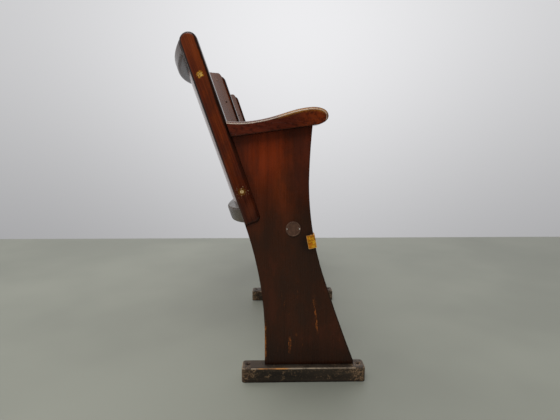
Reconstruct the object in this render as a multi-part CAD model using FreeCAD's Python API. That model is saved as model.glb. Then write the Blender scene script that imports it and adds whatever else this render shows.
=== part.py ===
import FreeCAD, Part
import math
import os

# A two-seat tip-up bench for a hall, chapel or cinema, in dark stained hardwood.
#
# Three standards stand side by side along X.  Each is a foot, a shaped upright panel, a raked
# back stile and an armrest.  Two bent backs hang between the stiles and two seats tip up
# between the panels.  Sitters face -Y, so their right-hand standard is the one at -X.
#
# Row frame: +X along the bench, +Y to the rear, +Z up, millimetres.
# Origin: centre of the middle foot's underside, on the floor.

V = FreeCAD.Vector

# ---- driving dimensions -------------------------------------------------------------------
PITCH = 556.0            # from one panel's middle plane to the next
PANEL_T = 22.0           # upright panel thickness
STILE_T = 28.0           # back stile thickness
END_PROUD = 6.0          # an end stile stands this much proud of its panel's outer face

FOOT_L = 316.0           # foot length, front to back
FOOT_W = 44.0
FOOT_H = 39.0
FOOT_CORNER = 9.0        # radius of its corners, seen from above
FOOT_ROUND = 5.0         # radius of its upper edges
FOOT_OUTSET = 6.5        # an end foot is set this far outward of its panel
FLOOR_SCREW_Y = 142.0    # floor screw holes, in front of and behind the foot's middle
FLOOR_SCREW_R = 3.5
FOOT_SCREW_L = 37.0      # screws that rise through the foot into the panel
FOOT_SCREW_HEAD_R = 6.5
FOOT_SCREW_SINK = 1.5

RAKE = 0.341             # rearward lean of the stile, per unit of height
STILE_MID_Y = 245.4      # stile centreline at the reference height
STILE_REF_Z = 763.0
STILE_HALF = 21.9        # half of the stile's width, measured level
STILE_TOP_Z = 852.0
STILE_LOW_Z = 410.0      # lower end, on the centreline
STILE_BEND = 14.0        # radius of its front lower corner
STILE_ROUND = 7.0        # the stile's long edges are rounded over

TONGUE_T = 10.0          # panel tongues that enter the stile and the armrest
TONGUE_INSET = 14.0      # the tongue stops short of the stile's rear face
TENON_T = 12.0           # panel tenon that enters the foot
TENON_H = 24.0

ARM_W = 48.0
ARM_UNDER_Z = 641.3      # armrest underside, at ARM_UNDER_Y, falling to the rear
ARM_UNDER_Y = -7.0
ARM_FALL = 0.137

BACK_FRONT = -13.0       # front of the bent back at the stiles, from the stile's centreline
BACK_T = 8.0             # bent plywood
BACK_SAG = 64.0          # rearward bulge of the plywood at mid bay
BACK_SPAN = (-366.0, 100.0)      # lower and upper edge, along the stile from its reference point
BACK_CORNER = 16.0       # radius of its upper corners
TOP_RAIL_SPAN = (56.0, 89.0)
TOP_RAIL_REAR = 25.0
TOP_RAIL_SAG = 56.0
TOP_RAIL_ROUND = 7.0
LOW_RAIL_SPAN = (-371.0, -331.0)
LOW_RAIL_REAR = 21.0
LOW_RAIL_SAG = 60.0
LOW_RAIL_ROUND = 5.0
RAIL_TENON = 6.0         # rail ends are let into the stiles by this much
BATTEN_T = 20.0
BATTEN_DEPTH = 20.0
BACK_SCREW_Z = (487.0, 757.0)
BACK_SCREW_L = 42.0
DOME_R = 4.2             # round screw heads
DOME_SHANK_R = 1.8
HEAD_LIFT = 0.05         # round heads clear the curved plywood by this much

PIVOT_Y = 27.6
PIVOT_Z = 395.0
PIN_R = 6.0
PIN_CLEAR = 0.05
FOLDED_DEG = 98.0        # seat leans back past upright when folded
OPEN_DEG = 4.0           # seat rises this much to the front when in use
WASHER_T = 2.7
WASHER_R = 13.0
PLATE_GAP = 3.0          # panel face to hinge plate
PLATE_T = 5.0
PLATE_FRONT = 120.0
RAIL_GAP = 8.3           # panel face to seat side rail
SEAT_RAIL_T = 24.0
SEAT_HALF_H = 14.0       # half height of the seat rails and hinge plates
SEAT_TAIL = 62.0
SEAT_RAIL_FRONT = 196.0
SEAT_INSET = 16.0        # panel face to the seat board's edge
SEAT_BOARD_T = 9.0
SEAT_FRONT = 255.0
SEAT_SIDE_REAR = 70.0
SEAT_MID_REAR = 115.0
PEG_AT = 48.0            # stop pegs, from the pivot
PEG_R = 5.0
SLEEVE_R = 8.0
PEG_PROUD = 7.6
PEG_DEPTH = 10.0
STOP_GAP = 0.3

COVER_R = 18.5
COVER_T = 2.5
NUT_POCKET_R = 15.0
NUT_POCKET = 10.0
NUT_FLATS = 19.0
NUT_H = 8.0

MARKER_Y = -17.7         # middle of the aisle marker, on the right-hand panel's front edge
MARKER_Z = 362.7
MARKER_TILT = 11.5       # degrees, so that it lies square to the edge
MARKER_HALF_H = 17.0
MARKER_REACH = 10.4
MARKER_WALL = 0.9
MARKER_NOSE = 3.2        # it stands this much in front of the edge

SIDES = {"right": -1, "middle": 0, "left": 1}
BAYS = {"right": -1, "left": 1}


# ---- drawing helpers ----------------------------------------------------------------------
def line(a, b):
    return Part.LineSegment(a, b).toShape()


def arc(a, mid, b):
    return Part.Arc(a, mid, b).toShape()


def spline(points):
    curve = Part.BSplineCurve()
    curve.interpolate(points)
    return curve.toShape()


def closed_face(edges):
    return Part.Face(Part.Wire(Part.__sortEdges__(edges)))


def polygon(points):
    return Part.Face(Part.makePolygon(points + points[:1]))


def sheet_x(edges, x0, x1):
    """Extrude an outline that is drawn in the plane x = 0 from x0 to x1."""
    face = closed_face(edges)
    face.translate(V(x0, 0, 0))
    return face.extrude(V(x1 - x0, 0, 0))


def block(x0, x1, y0, y1, z0, z1):
    return Part.makeBox(x1 - x0, y1 - y0, z1 - z0, V(x0, y0, z0))


def rod(start, direction, radius, length):
    return Part.makeCylinder(radius, length, start, direction)


def round_edges(shape, radius, wanted):
    edges = [e for e in shape.Edges if wanted(e)]
    return shape.makeFillet(radius, edges)


def level_x(edge, x):
    """True when the whole edge lies in the plane at this x."""
    box = edge.BoundBox
    return abs(box.XMin - x) < 0.01 and abs(box.XMax - x) < 0.01


def level_z(edge, z):
    box = edge.BoundBox
    return abs(box.ZMin - z) < 0.01 and abs(box.ZMax - z) < 0.01


def save(name, shapes):
    """Write one node; a list of shapes becomes separate solids in that node."""
    if not isinstance(shapes, list):
        shapes = [shapes]
    solids = [solid for shape in shapes for solid in shape.Solids]
    for solid in solids:
        if not solid.isValid():
            raise ValueError("bad solid in " + name)
    body = solids[0] if len(solids) == 1 else Part.makeCompound(solids)
    body.exportStep("parts/" + name + ".step")


def countersunk_screw(tip, direction, length, head_r, shank_r):
    """Slotted flat-head screw: direction points from the tip out through the head."""
    head_h = head_r - shank_r
    shank = Part.makeCylinder(shank_r, length - head_h, V(0, 0, 0), V(0, 0, 1))
    head = Part.makeCone(shank_r, head_r, head_h, V(0, 0, length - head_h), V(0, 0, 1))
    point = Part.makeCone(shank_r * 0.2, shank_r, shank_r * 2, V(0, 0, -shank_r * 2), V(0, 0, 1))
    slot = block(-head_r, head_r, -head_r * 0.14, head_r * 0.14, length - head_r * 0.25, length + 1)
    screw = shank.fuse([head, point]).removeSplitter().cut(slot)
    return aim(screw, tip, direction)


def dome_screw(seat, direction, length, head_r, shank_r):
    """Slotted round-head screw: seat is where the head's underside rests."""
    head_h = head_r * 0.45
    ball_r = (head_r ** 2 + head_h ** 2) / (2 * head_h)
    ball = Part.makeSphere(ball_r, V(0, 0, head_h - ball_r))
    head = ball.common(Part.makeCylinder(head_r + 1, head_h + 1, V(0, 0, 0), V(0, 0, 1)))
    shank = Part.makeCylinder(shank_r, length, V(0, 0, -length), V(0, 0, 1))
    slot = block(-head_r, head_r, -head_r * 0.12, head_r * 0.12, head_h * 0.5, head_h + 1)
    return aim(head.fuse(shank).cut(slot), seat, direction)


def screw_hole(seat, direction, length, shank_r):
    return rod(seat + direction * 2.0, -direction, shank_r, length + 2.0)


def aim(shape, place, direction):
    shape.Placement = FreeCAD.Placement(place, FreeCAD.Rotation(V(0, 0, 1), direction))
    return shape


# ---- positions ----------------------------------------------------------------------------
def stile_y(z, offset=0.0):
    """Level position on the stile at height z; offset 0 is its centreline."""
    return STILE_MID_Y + RAKE * (z - STILE_REF_Z) + offset


def panel_x(side):
    return side * PITCH


def stile_faces(side):
    """Lowest and highest x of a stile."""
    if side == 0:
        return (-STILE_T / 2, STILE_T / 2)
    inner = panel_x(side) - side * PANEL_T / 2
    outer = inner + side * STILE_T
    return (min(inner, outer), max(inner, outer))


def outer_stile_x(side):
    return panel_x(side) + side * (PANEL_T / 2 + END_PROUD)


def foot_x(side):
    return panel_x(side) + side * FOOT_OUTSET


def panel_gap(bay):
    """The two panel faces that look into a bay, as (low x, high x)."""
    if bay < 0:
        return (-PITCH + PANEL_T / 2, -PANEL_T / 2)
    return (PANEL_T / 2, PITCH - PANEL_T / 2)


def stile_gap(bay):
    """The two stile faces that look into a bay, as (low x, high x)."""
    if bay < 0:
        return (-PITCH + PANEL_T / 2, -STILE_T / 2)
    return (STILE_T / 2, PITCH - PANEL_T / 2)


# ---- standards ----------------------------------------------------------------------------
def stile_outline():
    """Straight raked stile with a half-round top; its lower end is square behind, round in front."""
    normal = V(0, 1, -RAKE)
    normal.normalize()
    along = V(0, RAKE, 1)
    along.normalize()
    half = STILE_HALF * normal.y
    top_mid_z = STILE_TOP_Z - half
    top_mid = V(0, stile_y(top_mid_z), top_mid_z)
    low_mid = V(0, stile_y(STILE_LOW_Z), STILE_LOW_Z)
    front_top = top_mid - normal * half
    rear_top = top_mid + normal * half
    front_low = low_mid - normal * half
    rear_low = low_mid + normal * half
    corner = front_low + (along + normal) * STILE_BEND
    corner_mid = corner - (normal + along) * (STILE_BEND * math.sqrt(0.5))
    return [
        line(front_low + along * STILE_BEND, front_top),
        arc(front_top, top_mid + along * half, rear_top),
        line(rear_top, rear_low),
        line(rear_low, front_low + normal * STILE_BEND),
        arc(front_low + normal * STILE_BEND, corner_mid, front_low + along * STILE_BEND),
    ]


def stile_rear_corner():
    """Lower rear corner of the stile, where the panel's rear edge meets it."""
    slope = math.hypot(1, RAKE)
    half = STILE_HALF / slope
    return V(0, stile_y(STILE_LOW_Z) + half / slope, STILE_LOW_Z - half * RAKE / slope)


def arm_under(y):
    return ARM_UNDER_Z - ARM_FALL * (y - ARM_UNDER_Y)


def arm_line_meets_stile(offset, lift):
    """Where a line at this height over the armrest's underside meets a line along the stile."""
    level = ARM_UNDER_Z + lift + ARM_FALL * ARM_UNDER_Y
    y = (stile_y(level) + offset) / (1 + RAKE * ARM_FALL)
    return V(0, y, level - ARM_FALL * y)


def panel_outline(top_lift, rear_inset):
    """Waisted upright: the front edge sweeps out to the foot, the rear edge ends plumb."""
    top_front = V(0, -17.0, arm_under(-17.0) + top_lift)
    waist = V(0, -10.0, 508.0)
    front_high = V(0, -12.2, 577.0)
    bow_mid = V(0, -20.6, 388.0)
    bow_end = V(0, -51.5, 265.0)
    flare_mid = V(0, -90.3, 152.0)
    flare_end = V(0, -128.4, 49.0)
    foot_front = V(0, -128.4, FOOT_H)
    foot_rear = V(0, 99.2, FOOT_H)
    sweep_low = V(0, 98.8, 115.0)
    sweep_mid = V(0, 109.9, 259.2)
    sweep_high = stile_rear_corner()
    housed_low = V(0, stile_y(430.0, STILE_HALF - rear_inset), 430.0)
    housed_high = arm_line_meets_stile(STILE_HALF - rear_inset, top_lift)
    return [
        arc(top_front, front_high, waist),
        arc(waist, bow_mid, bow_end),
        arc(bow_end, flare_mid, flare_end),
        line(flare_end, foot_front),
        line(foot_front, foot_rear),
        line(foot_rear, sweep_low),
        arc(sweep_low, sweep_mid, sweep_high),
        line(sweep_high, housed_low),
        line(housed_low, housed_high),
        line(housed_high, top_front),
    ]


def pivot_bore(side):
    x = panel_x(side)
    bore = rod(V(x - PANEL_T, PIVOT_Y, PIVOT_Z), V(1, 0, 0), PIN_R, 2 * PANEL_T)
    if side == 0:
        return bore
    pocket = rod(V(x + side * PANEL_T / 2, PIVOT_Y, PIVOT_Z), V(-side, 0, 0), NUT_POCKET_R, NUT_POCKET)
    return bore.fuse(pocket)


def stile_tongue(side):
    """The panel's tongue that enters the stile."""
    x = panel_x(side)
    zone = sheet_x(panel_outline(0.0, TONGUE_INSET), x - TONGUE_T / 2, x + TONGUE_T / 2)
    zone = zone.common(sheet_x(stile_outline(), x - PANEL_T, x + PANEL_T))
    return zone.common(block(x - PANEL_T, x + PANEL_T, 0.0, 300.0, 430.0, 700.0))


def arm_tongue(side):
    """The panel's tongue that enters the armrest."""
    x = panel_x(side)
    zone = sheet_x(panel_outline(TONGUE_T, TONGUE_INSET), x - TONGUE_T / 2, x + TONGUE_T / 2)
    return zone.common(block(x - PANEL_T, x + PANEL_T, 0.0, 160.0, 560.0, 700.0))


def make_panel(side, pegs, screws):
    x = panel_x(side)
    half = PANEL_T / 2
    board = sheet_x(panel_outline(0.0, TONGUE_INSET), x - half, x + half)
    stile_prism = sheet_x(stile_outline(), x - PANEL_T, x + PANEL_T)
    tenon = block(x - TENON_T / 2, x + TENON_T / 2, -105.0, 80.0, FOOT_H - TENON_H, FOOT_H)
    tongues = [stile_tongue(side), arm_tongue(side).cut(stile_prism)]
    panel = board.cut(stile_prism).fuse(tongues + [tenon]).removeSplitter()
    return panel.cut([pivot_bore(side)] + pegs + screws)


def make_stile(side, screws, tenons, dowels):
    low, high = stile_faces(side)
    solid = sheet_x(stile_outline(), low, high)
    solid = round_edges(solid, STILE_ROUND, lambda e: level_x(e, low) or level_x(e, high))
    return solid.cut([stile_tongue(side)] + screws + tenons + dowels)


def foot_screws(side):
    """Two screws that rise through the foot into the panel's tenon."""
    x = panel_x(side)
    found = []
    for y in (-62.0, 48.0):
        tip = V(x, y, FOOT_SCREW_SINK + FOOT_SCREW_L)
        found.append(countersunk_screw(tip, V(0, 0, -1), FOOT_SCREW_L, FOOT_SCREW_HEAD_R, 2.5))
    return found


def make_foot(side, screws):
    x = foot_x(side)
    half_w = FOOT_W / 2
    half_l = FOOT_L / 2
    bar = block(x - half_w, x + half_w, -half_l, half_l, 0.0, FOOT_H)
    bar = round_edges(bar, FOOT_CORNER, lambda e: e.BoundBox.ZLength > FOOT_H - 1)
    bar = round_edges(bar, FOOT_ROUND, lambda e: level_z(e, FOOT_H))
    px = panel_x(side)
    mortise = block(px - TENON_T / 2, px + TENON_T / 2, -105.0, 80.0, FOOT_H - TENON_H, FOOT_H + 1)
    cuts = [mortise] + screws
    for screw in screws:
        centre = screw.BoundBox.Center
        cuts.append(rod(V(px, centre.y, -1), V(0, 0, 1), FOOT_SCREW_HEAD_R, FOOT_SCREW_SINK + 1))
    for y in (-FLOOR_SCREW_Y, FLOOR_SCREW_Y):
        cuts.append(rod(V(x, y, -1), V(0, 0, 1), FLOOR_SCREW_R, FOOT_H + 2))
        cuts.append(Part.makeCone(FLOOR_SCREW_R, FLOOR_SCREW_R + 3, 3, V(x, y, FOOT_H - 3), V(0, 0, 1)))
    return bar.cut(cuts)


def arm_outline():
    """Scooped top that rises to the front, bull nose, straight underside."""
    rear_top = V(0, stile_y(652.4, -STILE_HALF), 652.4)
    crest = V(0, -16.0, 684.7)
    tip = V(0, -52.6, 665.5)
    nose_low = V(0, -22.0, arm_under(-22.0))
    rear_low = arm_line_meets_stile(-STILE_HALF, 0.0)
    top = spline([rear_top, V(0, 123.0, 653.3), V(0, 74.0, 663.6), V(0, 26.0, 678.0), crest])
    nose_top = spline([crest, V(0, -36.0, 682.4), V(0, -47.5, 676.0), tip])
    nose_under = spline([tip, V(0, -50.0, 657.3), V(0, -40.5, 649.0), nose_low])
    return [top, nose_top, nose_under, line(nose_low, rear_low), line(rear_low, rear_top)]


def arm_dowels(side):
    """Two dowels that pin an armrest to the front edge of its stile."""
    x = foot_x(side)
    aimed = V(0, 1, -RAKE)
    aimed.normalize()
    found = []
    for z in (624.0, 636.0):
        start = V(x - side * 3.0, stile_y(z, -STILE_HALF), z) - aimed * 26.0
        found.append(rod(start, aimed, 3.5, 44.0))
    return found


def make_armrest(side, dowels):
    x = foot_x(side)
    half = ARM_W / 2
    solid = sheet_x(arm_outline(), x - half, x + half)

    def shows(edge):
        mid = edge.valueAt((edge.FirstParameter + edge.LastParameter) / 2)
        at_rear = edge.BoundBox.YMin > 160.0
        return (level_x(edge, x - half) or level_x(edge, x + half)) and not at_rear and mid.z > 650.0

    solid = round_edges(solid, 7.0, shows)
    return solid.cut([arm_tongue(side)] + dowels)


# ---- backs, drawn upright about the stile's reference point, then leaned back ----------------
# Here +Y is square to the stile, towards the rear, and +Z runs up along the stile.
def on_rake(shape):
    shape.rotate(V(0, 0, 0), V(1, 0, 0), -math.degrees(math.atan(RAKE)))
    shape.translate(V(0, STILE_MID_Y, STILE_REF_Z))
    return shape


def curved_bar(bay, front, front_sag, rear, rear_sag, heights):
    """Bar between two stiles whose front and rear faces are arcs that bulge to the rear."""
    low, high = stile_gap(bay)
    middle = (low + high) / 2
    z0, z1 = heights
    edges = [
        arc(V(low, front, z0), V(middle, front + front_sag, z0), V(high, front, z0)),
        line(V(high, front, z0), V(high, rear, z0)),
        arc(V(low, rear, z0), V(middle, rear + rear_sag, z0), V(high, rear, z0)),
        line(V(low, rear, z0), V(low, front, z0)),
    ]
    return closed_face(edges).extrude(V(0, 0, z1 - z0))


def rail_tenons(bay, span):
    """Stub tenons at both ends of a rail, let into the stiles."""
    low, high = stile_gap(bay)
    found = []
    for x in (low - RAIL_TENON, high):
        found.append(block(x, x + RAIL_TENON, 4.0, 15.0, span[0] + 8, span[1] - 8))
    return found


def make_rail(bay, span, rear, sag, radius, holes):
    bar = curved_bar(bay, BACK_FRONT + BACK_T, BACK_SAG, rear, sag, span)
    bar = round_edges(bar, radius, lambda e: e.BoundBox.XLength > 100 and e.BoundBox.YMin > rear - 1)
    return on_rake(bar.fuse(rail_tenons(bay, span)).removeSplitter().cut(holes))


def corner_waste(x, into):
    """What is cut away to round an upper corner of a bent back, seen from the front."""
    top = BACK_SPAN[1]
    centre = V(x + into * BACK_CORNER, -30, top - BACK_CORNER)
    outside, inside = sorted((x - into, centre.x))
    square = block(outside, inside, -30, 90, centre.z, top + 1)
    return square.cut(rod(centre, V(0, 1, 0), BACK_CORNER, 120))


def make_back_panel(bay, holes):
    sheet = curved_bar(bay, BACK_FRONT, BACK_SAG, BACK_FRONT + BACK_T, BACK_SAG, BACK_SPAN)
    low, high = stile_gap(bay)
    sheet = sheet.cut([corner_waste(low, 1), corner_waste(high, -1)])
    for x in (low, high):
        for z in BACK_SCREW_Z:
            up = (z - STILE_REF_Z) * math.hypot(1, RAKE)
            holes.append(rod(V(x - 30, 0, up), V(1, 0, 0), 2.7, 60))
    return on_rake(sheet.cut(holes))


def make_battens(bay, screws):
    """Upright battens on the stiles, behind the ends of the bent back."""
    low, high = stile_gap(bay)
    span = (LOW_RAIL_SPAN[1], TOP_RAIL_SPAN[0])
    behind = BACK_FRONT + BACK_T
    zone = curved_bar(bay, behind, BACK_SAG, behind + 60.0, BACK_SAG, span)
    found = []
    for x in (low, high - BATTEN_T):
        bar = block(x, x + BATTEN_T, behind, behind + BATTEN_DEPTH, span[0], span[1])
        found.append(on_rake(bar.common(zone)).cut(screws))
    return found


def back_screws():
    """Flat-head screws through the end stiles into the battens."""
    found = []
    for side in (-1, 1):
        head_x = outer_stile_x(side)
        for z in BACK_SCREW_Z:
            tip = V(head_x - side * BACK_SCREW_L, stile_y(z), z)
            found.append(countersunk_screw(tip, V(side, 0, 0), BACK_SCREW_L, 5.5, 2.4))
    return found


def ply_screw_places(bay):
    """Seat, direction and length of the round-head screws that hold the back to its rails."""
    low, high = stile_gap(bay)
    half = (high - low) / 2
    radius = (half ** 2 + BACK_SAG ** 2) / (2 * BACK_SAG)
    found = []
    for z in (sum(LOW_RAIL_SPAN) / 2 + 2, sum(TOP_RAIL_SPAN) / 2):
        for share in (-0.86, -0.42, 0.0, 0.42, 0.86):
            dx = share * half
            depth = math.sqrt(radius ** 2 - dx ** 2)
            normal = V(-dx, -depth, 0) / radius
            seat = V((low + high) / 2 + dx, BACK_FRONT + BACK_SAG - radius + depth, z)
            found.append((seat + normal * HEAD_LIFT, normal, 16.0))
    return found


# ---- seats, drawn open and level about the pivot, then folded --------------------------------
def from_pivot(shape):
    shape.rotate(V(0, 0, 0), V(1, 0, 0), -FOLDED_DEG)
    shape.translate(V(0, PIVOT_Y, PIVOT_Z))
    return shape


def seat_bar_outline(front):
    """Round-tailed bar about the pivot: tail to the rear (+Y), square nose to the front."""
    nose = -front
    centre = SEAT_TAIL - SEAT_HALF_H
    return [
        line(V(0, nose, SEAT_HALF_H), V(0, centre, SEAT_HALF_H)),
        arc(V(0, centre, SEAT_HALF_H), V(0, SEAT_TAIL, 0), V(0, centre, -SEAT_HALF_H)),
        line(V(0, centre, -SEAT_HALF_H), V(0, nose, -SEAT_HALF_H)),
        line(V(0, nose, -SEAT_HALF_H), V(0, nose, SEAT_HALF_H)),
    ]


def seat_ends(bay):
    """For each end of a seat: panel face x and the direction into the bay."""
    low, high = panel_gap(bay)
    return {"right": (low, 1), "left": (high, -1)}


def span(face, into, start, end):
    a = face + into * start
    b = face + into * end
    return (min(a, b), max(a, b))


def cross_rail(bay, front, rear):
    """Rail across the seat between the side rails, with a stub tenon at each end."""
    low, high = panel_gap(bay)
    inner = RAIL_GAP + SEAT_RAIL_T
    body = block(low + inner, high - inner, -front, -rear, -SEAT_HALF_H, SEAT_HALF_H)
    tenon = block(low + inner - 12, high - inner + 12, -front + 6, -rear - 6, -8.0, 8.0)
    return body.fuse(tenon).removeSplitter()


def seat_board(bay):
    """Plywood seat: level, with a rolled front edge, round corners and a bowed rear edge."""
    low, high = panel_gap(bay)
    low += SEAT_INSET
    high -= SEAT_INSET
    under = SEAT_HALF_H
    over = SEAT_HALF_H + SEAT_BOARD_T
    flat = 196.0
    roll = 64.0
    drop_angle = math.asin((SEAT_FRONT - flat) / (roll + SEAT_BOARD_T))

    def rolled(radius, turn):
        return V(0, -flat - radius * math.sin(turn), under - roll + radius * math.cos(turn))

    outer = roll + SEAT_BOARD_T
    edges = [
        line(V(0, SEAT_MID_REAR, over), V(0, -flat, over)),
        arc(V(0, -flat, over), rolled(outer, drop_angle / 2), rolled(outer, drop_angle)),
        line(rolled(outer, drop_angle), rolled(roll, drop_angle)),
        arc(rolled(roll, drop_angle), rolled(roll, drop_angle / 2), V(0, -flat, under)),
        line(V(0, -flat, under), V(0, SEAT_MID_REAR, under)),
        line(V(0, SEAT_MID_REAR, under), V(0, SEAT_MID_REAR, over)),
    ]
    board = sheet_x(edges, low, high)
    corner = 34.0
    tight = corner * (1 - math.sqrt(0.5))
    front = -SEAT_FRONT - 1
    middle = (low + high) / 2
    plan = closed_face([
        line(V(low, SEAT_SIDE_REAR, 0), V(low, front + corner, 0)),
        arc(V(low, front + corner, 0), V(low + tight, front + tight, 0), V(low + corner, front, 0)),
        line(V(low + corner, front, 0), V(high - corner, front, 0)),
        arc(V(high - corner, front, 0), V(high - tight, front + tight, 0), V(high, front + corner, 0)),
        line(V(high, front + corner, 0), V(high, SEAT_SIDE_REAR, 0)),
        arc(V(high, SEAT_SIDE_REAR, 0), V(middle, SEAT_MID_REAR, 0), V(low, SEAT_SIDE_REAR, 0)),
    ])
    plan.translate(V(0, 0, -60))
    board = board.common(plan.extrude(V(0, 0, 120)))
    return round_edges(board, 2.5, lambda e: level_z(e, over) and e.BoundBox.YMin > -flat + 1)


def seat_screw_places(bay):
    """Seat, direction and length of the round-head screws that hold a seat board down."""
    low, high = panel_gap(bay)
    found = []
    top = SEAT_HALF_H + SEAT_BOARD_T
    inset = RAIL_GAP + SEAT_RAIL_T / 2 + 2
    for x in (low + inset, high - inset):
        for y in (-180.0, -89.0, 40.0):
            found.append((V(x, y, top), V(0, 0, 1), 22.0))
    middle = (low + high) / 2
    for y in (-178.0, 40.0):
        for x in (middle - 120.0, middle, middle + 120.0):
            found.append((V(x, y, top), V(0, 0, 1), 22.0))
    return found


def hinge_screws(face, into):
    found = []
    for y in (-108.0, -70.0, -32.0):
        outer = face + into * PLATE_GAP
        tip = V(outer + into * 24.0, y, 0)
        found.append(countersunk_screw(tip, V(-into, 0, 0), 24.0, 4.5, 2.2))
    return found


def dome_screws(places):
    return [dome_screw(seat, aimed, length, DOME_R, DOME_SHANK_R) for seat, aimed, length in places]


def dome_holes(places):
    return [screw_hole(seat, aimed, length, DOME_SHANK_R) for seat, aimed, length in places]


def make_seat(bay, name):
    places = seat_screw_places(bay)
    holes = dome_holes(places)
    plate_screws = []
    for face, into in seat_ends(bay).values():
        plate_screws += hinge_screws(face, into)
    front_rail = cross_rail(bay, 196.0, 160.0)
    rear_rail = cross_rail(bay, -20.0, -56.0)
    bushes = []
    for end, (face, into) in seat_ends(bay).items():
        x0, x1 = span(face, into, PLATE_GAP, 30.0)
        bush = rod(V(x0, 0, 0), V(1, 0, 0), 9.0, x1 - x0)
        bore = rod(V(x0 - 1, 0, 0), V(1, 0, 0), PIN_R + PIN_CLEAR, x1 - x0 + 2)
        a, b = span(face, into, PLATE_GAP, PLATE_GAP + PLATE_T)
        plate = sheet_x(seat_bar_outline(PLATE_FRONT), a, b)
        plate = plate.cut([bush] + plate_screws)
        save("hinge_plate_" + name + "_" + end, from_pivot(plate))
        a, b = span(face, into, RAIL_GAP, RAIL_GAP + SEAT_RAIL_T)
        rail = sheet_x(seat_bar_outline(SEAT_RAIL_FRONT), a, b)
        rail = rail.cut([bush, front_rail, rear_rail] + holes + plate_screws)
        deep = rod(V(face + into * 30.0, 0, 0), V(into, 0, 0), PIN_R + 1.0, 3.0)
        save("seat_side_rail_" + name + "_" + end, from_pivot(rail.cut(deep)))
        bushes.append(from_pivot(bush.cut(bore)))
    save("pivot_bushes_" + name, bushes)
    save("seat_front_rail_" + name, from_pivot(front_rail.cut(holes)))
    save("seat_rear_rail_" + name, from_pivot(rear_rail.cut(holes)))
    save("seat_board_" + name, from_pivot(seat_board(bay).cut(holes)))
    save("seat_board_screws_" + name, [from_pivot(screw) for screw in dome_screws(places)])
    save("hinge_screws_" + name, [from_pivot(screw) for screw in plate_screws])


# ---- pivots and stops -----------------------------------------------------------------------
def pivot_pin(side):
    reach = 29.0
    x = panel_x(side)
    if side == 0:
        length = PANEL_T + 2 * reach
        return rod(V(-length / 2, PIVOT_Y, PIVOT_Z), V(1, 0, 0), PIN_R, length)
    start = x + side * (PANEL_T / 2 - 1.5)
    return rod(V(start, PIVOT_Y, PIVOT_Z), V(-side, 0, 0), PIN_R, PANEL_T - 1.5 + reach)


def pivot_nut(side):
    corners = []
    for step in range(6):
        turn = math.radians(60 * step + 30)
        reach = NUT_FLATS / 2 / math.cos(math.radians(30))
        corners.append(V(0, reach * math.cos(turn), reach * math.sin(turn)))
    nut = polygon(corners).extrude(V(-side * NUT_H, 0, 0))
    nut.translate(V(panel_x(side) + side * (PANEL_T / 2 - NUT_POCKET + NUT_H), PIVOT_Y, PIVOT_Z))
    return nut.cut(rod(V(panel_x(side) - 40, PIVOT_Y, PIVOT_Z), V(1, 0, 0), PIN_R, 80))


def cover_disc(side, nails):
    """Thin turned disc over the pivot nut, with a raised rim."""
    face = panel_x(side) + side * PANEL_T / 2
    disc = rod(V(face, PIVOT_Y, PIVOT_Z), V(side, 0, 0), COVER_R, COVER_T)
    disc = round_edges(disc, 0.8, lambda e: level_x(e, face + side * COVER_T))
    dish = rod(V(face + side * (COVER_T - 0.6), PIVOT_Y, PIVOT_Z), V(side, 0, 0), COVER_R - 2.2, 2.0)
    return disc.cut(dish).cut(nails)


def cover_nails(side):
    face = panel_x(side) + side * (PANEL_T / 2 + COVER_T - 0.6)
    found = []
    for turn in (-1, 1):
        seat = V(face, PIVOT_Y + turn * (COVER_R - 2.8), PIVOT_Z)
        found.append(dome_screw(seat, V(side, 0, 0), 3.0, 1.6, 0.7))
    return found


def pivot_washer(face, into):
    start = V(face, PIVOT_Y, PIVOT_Z)
    ring = rod(start, V(into, 0, 0), WASHER_R, WASHER_T)
    return ring.cut(rod(start - V(into, 0, 0), V(into, 0, 0), PIN_R, WASHER_T + 2))


def peg_places():
    """Stop pegs around the pivot: one meets the tail when folded, one when the seat is open."""
    touch = math.degrees(math.asin((SEAT_HALF_H + SLEEVE_R + STOP_GAP) / PEG_AT))
    places = []
    for turn in (OPEN_DEG + 180 - touch, FOLDED_DEG + 180 + touch):
        angle = math.radians(turn)
        places.append((PIVOT_Y - PEG_AT * math.cos(angle), PIVOT_Z + PEG_AT * math.sin(angle)))
    return places


def stop_peg(face, into, y, z):
    start = V(face - into * PEG_DEPTH, y, z)
    return rod(start, V(into, 0, 0), PEG_R, PEG_DEPTH + PEG_PROUD)


def stop_sleeve(face, into, y, z):
    ring = rod(V(face, y, z), V(into, 0, 0), SLEEVE_R, PEG_PROUD)
    return ring.cut(stop_peg(face, into, y, z))


def panel_faces(side):
    """Faces of a panel that look into a bay, with the direction into that bay."""
    half = PANEL_T / 2
    if side == 0:
        return [(-half, -1), (half, 1)]
    return [(panel_x(side) - side * half, -side)]


def marker_clip(panel):
    """Thin sleeve folded round the front edge of the right-hand panel, square to that edge."""
    x = panel_x(-1)
    half = PANEL_T / 2 + MARKER_WALL
    wide = sheet_x(panel_outline(0.0, TONGUE_INSET), x - half, x + half)
    wide.translate(V(0, -MARKER_NOSE, 0))
    outer_leg = block(x - 30, x, -30.0, MARKER_REACH, -MARKER_HALF_H, MARKER_HALF_H)
    inner_leg = block(x, x + 30, -30.0, 3.0, -MARKER_HALF_H, MARKER_HALF_H)
    window = outer_leg.fuse(inner_leg)
    window.rotate(V(0, 0, 0), V(1, 0, 0), -MARKER_TILT)
    window.translate(V(0, MARKER_Y, MARKER_Z))
    return wide.common(window).cut(panel)


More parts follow.
